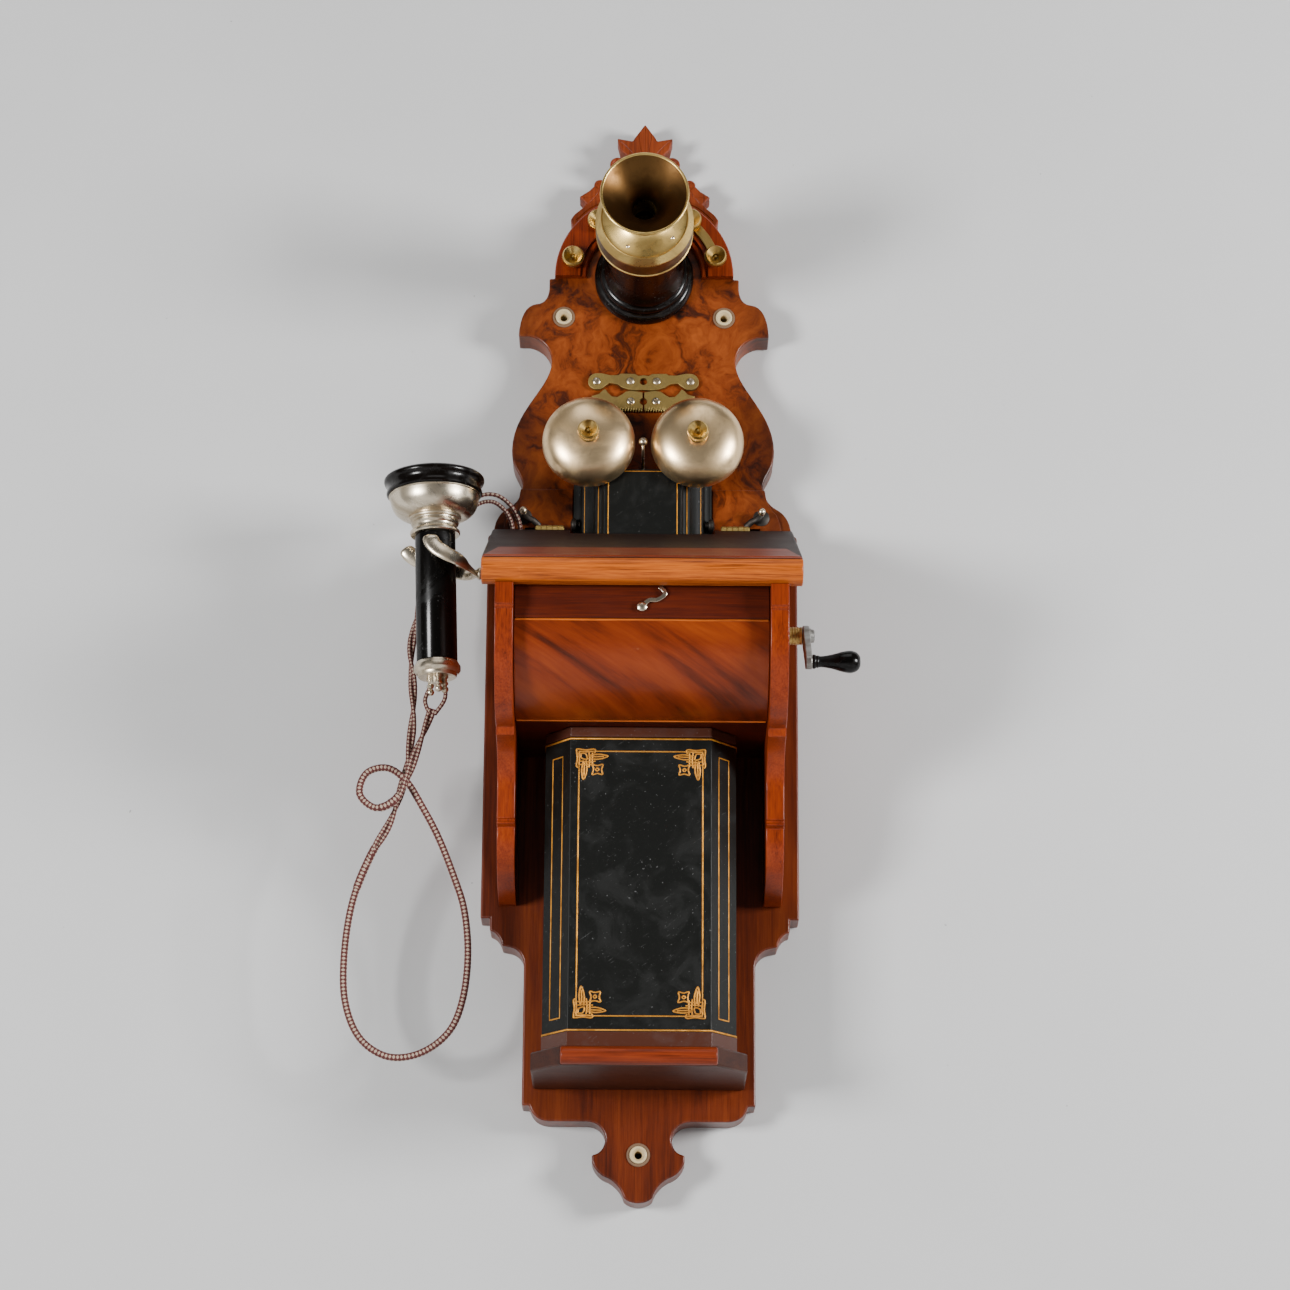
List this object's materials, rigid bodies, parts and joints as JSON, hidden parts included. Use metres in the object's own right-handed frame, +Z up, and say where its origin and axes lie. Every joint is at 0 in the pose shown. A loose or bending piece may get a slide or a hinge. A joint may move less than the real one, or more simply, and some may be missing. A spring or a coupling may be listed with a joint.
{
  "type": "wall crank telephone",
  "caption": "Vintage wall telephone with carved backboard, turned transmitter, two gongs, side crank, sloping lid, battery box and receiver on a switch hook.",
  "frame": {"origin": "on the wall, in the middle of the backboard's back face between its main width's edges, 350 mm above the bottom tip", "axes": "+X right as seen from the front, +Y into the wall, +Z up; the phone's front faces -Y"},
  "size_m": [0.3471, 0.198, 0.787],
  "materials": {
    "walnut": "polished burl walnut",
    "oak": "polished orange-brown wood",
    "mahogany": "satin red-brown wood",
    "ebonised": "black polished ebonite and ebonised wood",
    "japanned": "black japanned sheet with gold lines",
    "brass": "aged brass",
    "bronze": "tarnished nickel on brass",
    "nickel": "worn nickel plate",
    "steel": "dull steel",
    "copper": "covered copper winding",
    "ivory": "cream bush",
    "zinc": "dull zinc can",
    "braid": "red-brown and cream cotton braid"
  },
  "bodies": {
    "root": {"arch_ring": "walnut", "arrester_bar": "brass", "arrester_plate_left": "brass", "arrester_plate_right": "brass", "backboard": "walnut", "battery_band": "mahogany", "battery_cell_left": "zinc", "battery_cell_right": "zinc", "battery_ledge": "walnut", "bearing_plate_left": "brass", "bearing_plate_right": "brass", "bow_panel": "oak", "box_bottom": "walnut", "carbon_capsule": "steel", "contact_springs": "brass", "cord": "braid", "front_rail": "walnut", "gong_left": "bronze", "gong_right": "bronze", "gong_stud_left": "brass", "gong_stud_right": "brass", "hinge_left": "brass", "hinge_right": "brass", "induction_coil": "copper", "line_post_left": "brass", "line_post_right": "brass", "magnet_1": "steel", "magnet_2": "steel", "magnet_3": "steel", "magneto_base": "walnut", "mouthpiece": "bronze", "ringer_coils": "copper", "ringer_cover": "japanned", "side_left": "walnut", "side_right": "walnut", "terminal_1": "brass", "terminal_2": "brass", "terminal_3": "brass", "terminal_4": "brass", "terminal_strip": "brass", "transmitter_cup": "brass", "transmitter_face": "brass", "transmitter_stem": "ebonised", "wall_bush_1": "ivory", "wall_bush_2": "ivory", "wall_bush_3": "ivory"},
    "lid": {"lid": "oak"},
    "latch": {"latch_hook": "nickel"},
    "crank": {"crank_shaft": "steel", "crank_arm": "steel"},
    "grip": {"crank_grip": "ebonised"},
    "armature": {"armature": "copper"},
    "clapper": {"clapper": "steel"},
    "hook": {"switch_hook": "nickel"},
    "receiver": {"receiver_tube": "ebonised", "receiver_cup": "nickel", "receiver_cap": "ebonised", "receiver_end": "nickel"},
    "battery_cover": {"battery_cover": "japanned"},
    "crest": {"crest": "mahogany"}
  },
  "joints": [
    {"name": "lid_hinge", "type": "hinge", "parent": "root", "child": "lid", "pos_m": [0, -0.032, 0.1085], "axis": [-1, 0, 0], "range_deg": [0, 48]},
    {"name": "latch_turn", "type": "hinge", "parent": "root", "child": "latch", "pos_m": [0, -0.18, 0.01], "axis": [0, 1, 0], "range_deg": [0, 60]},
    {"name": "crank_turn", "type": "hinge", "parent": "root", "child": "crank", "pos_m": [0, -0.081, 0.021], "axis": [1, 0, 0], "continuous": true},
    {"name": "grip_turn", "type": "hinge", "parent": "crank", "child": "grip", "pos_m": [0.13, -0.12093, -0.00909], "axis": [1, 0, 0], "continuous": true},
    {"name": "armature_turn", "type": "hinge", "parent": "root", "child": "armature", "pos_m": [0, -0.081, -0.011], "axis": [1, 0, 0], "continuous": true},
    {"name": "clapper_swing", "type": "hinge", "parent": "root", "child": "clapper", "pos_m": [0, -0.039, 0.143], "axis": [0, 1, 0], "range_deg": [-4.5, 4.5], "stiffness_Nm_per_rad": 0.004},
    {"name": "hook_lift", "type": "hinge", "parent": "root", "child": "hook", "pos_m": [-0.056, -0.087, 0.06], "axis": [0, 1, 0], "range_deg": [0, 9.5]},
    {"name": "receiver_lift", "type": "slide", "parent": "root", "child": "receiver", "axis": [-0.7071, 0, 0.7071], "range_m": [0, 0.18]},
    {"name": "battery_cover_slide", "type": "slide", "parent": "root", "child": "battery_cover", "axis": [0, -1, 0], "range_m": [0, 0.09]},
    {"name": "crest_lift", "type": "slide", "parent": "root", "child": "crest", "axis": [0, 0, 1], "range_m": [0, 0.05]}
  ],
  "couplings": [
    {"joint": "armature_turn", "follows": "crank_turn", "ratio": -5},
    {"joint": "hook_lift", "follows": "receiver_lift", "rad_per_m": 0.873}
  ]
}
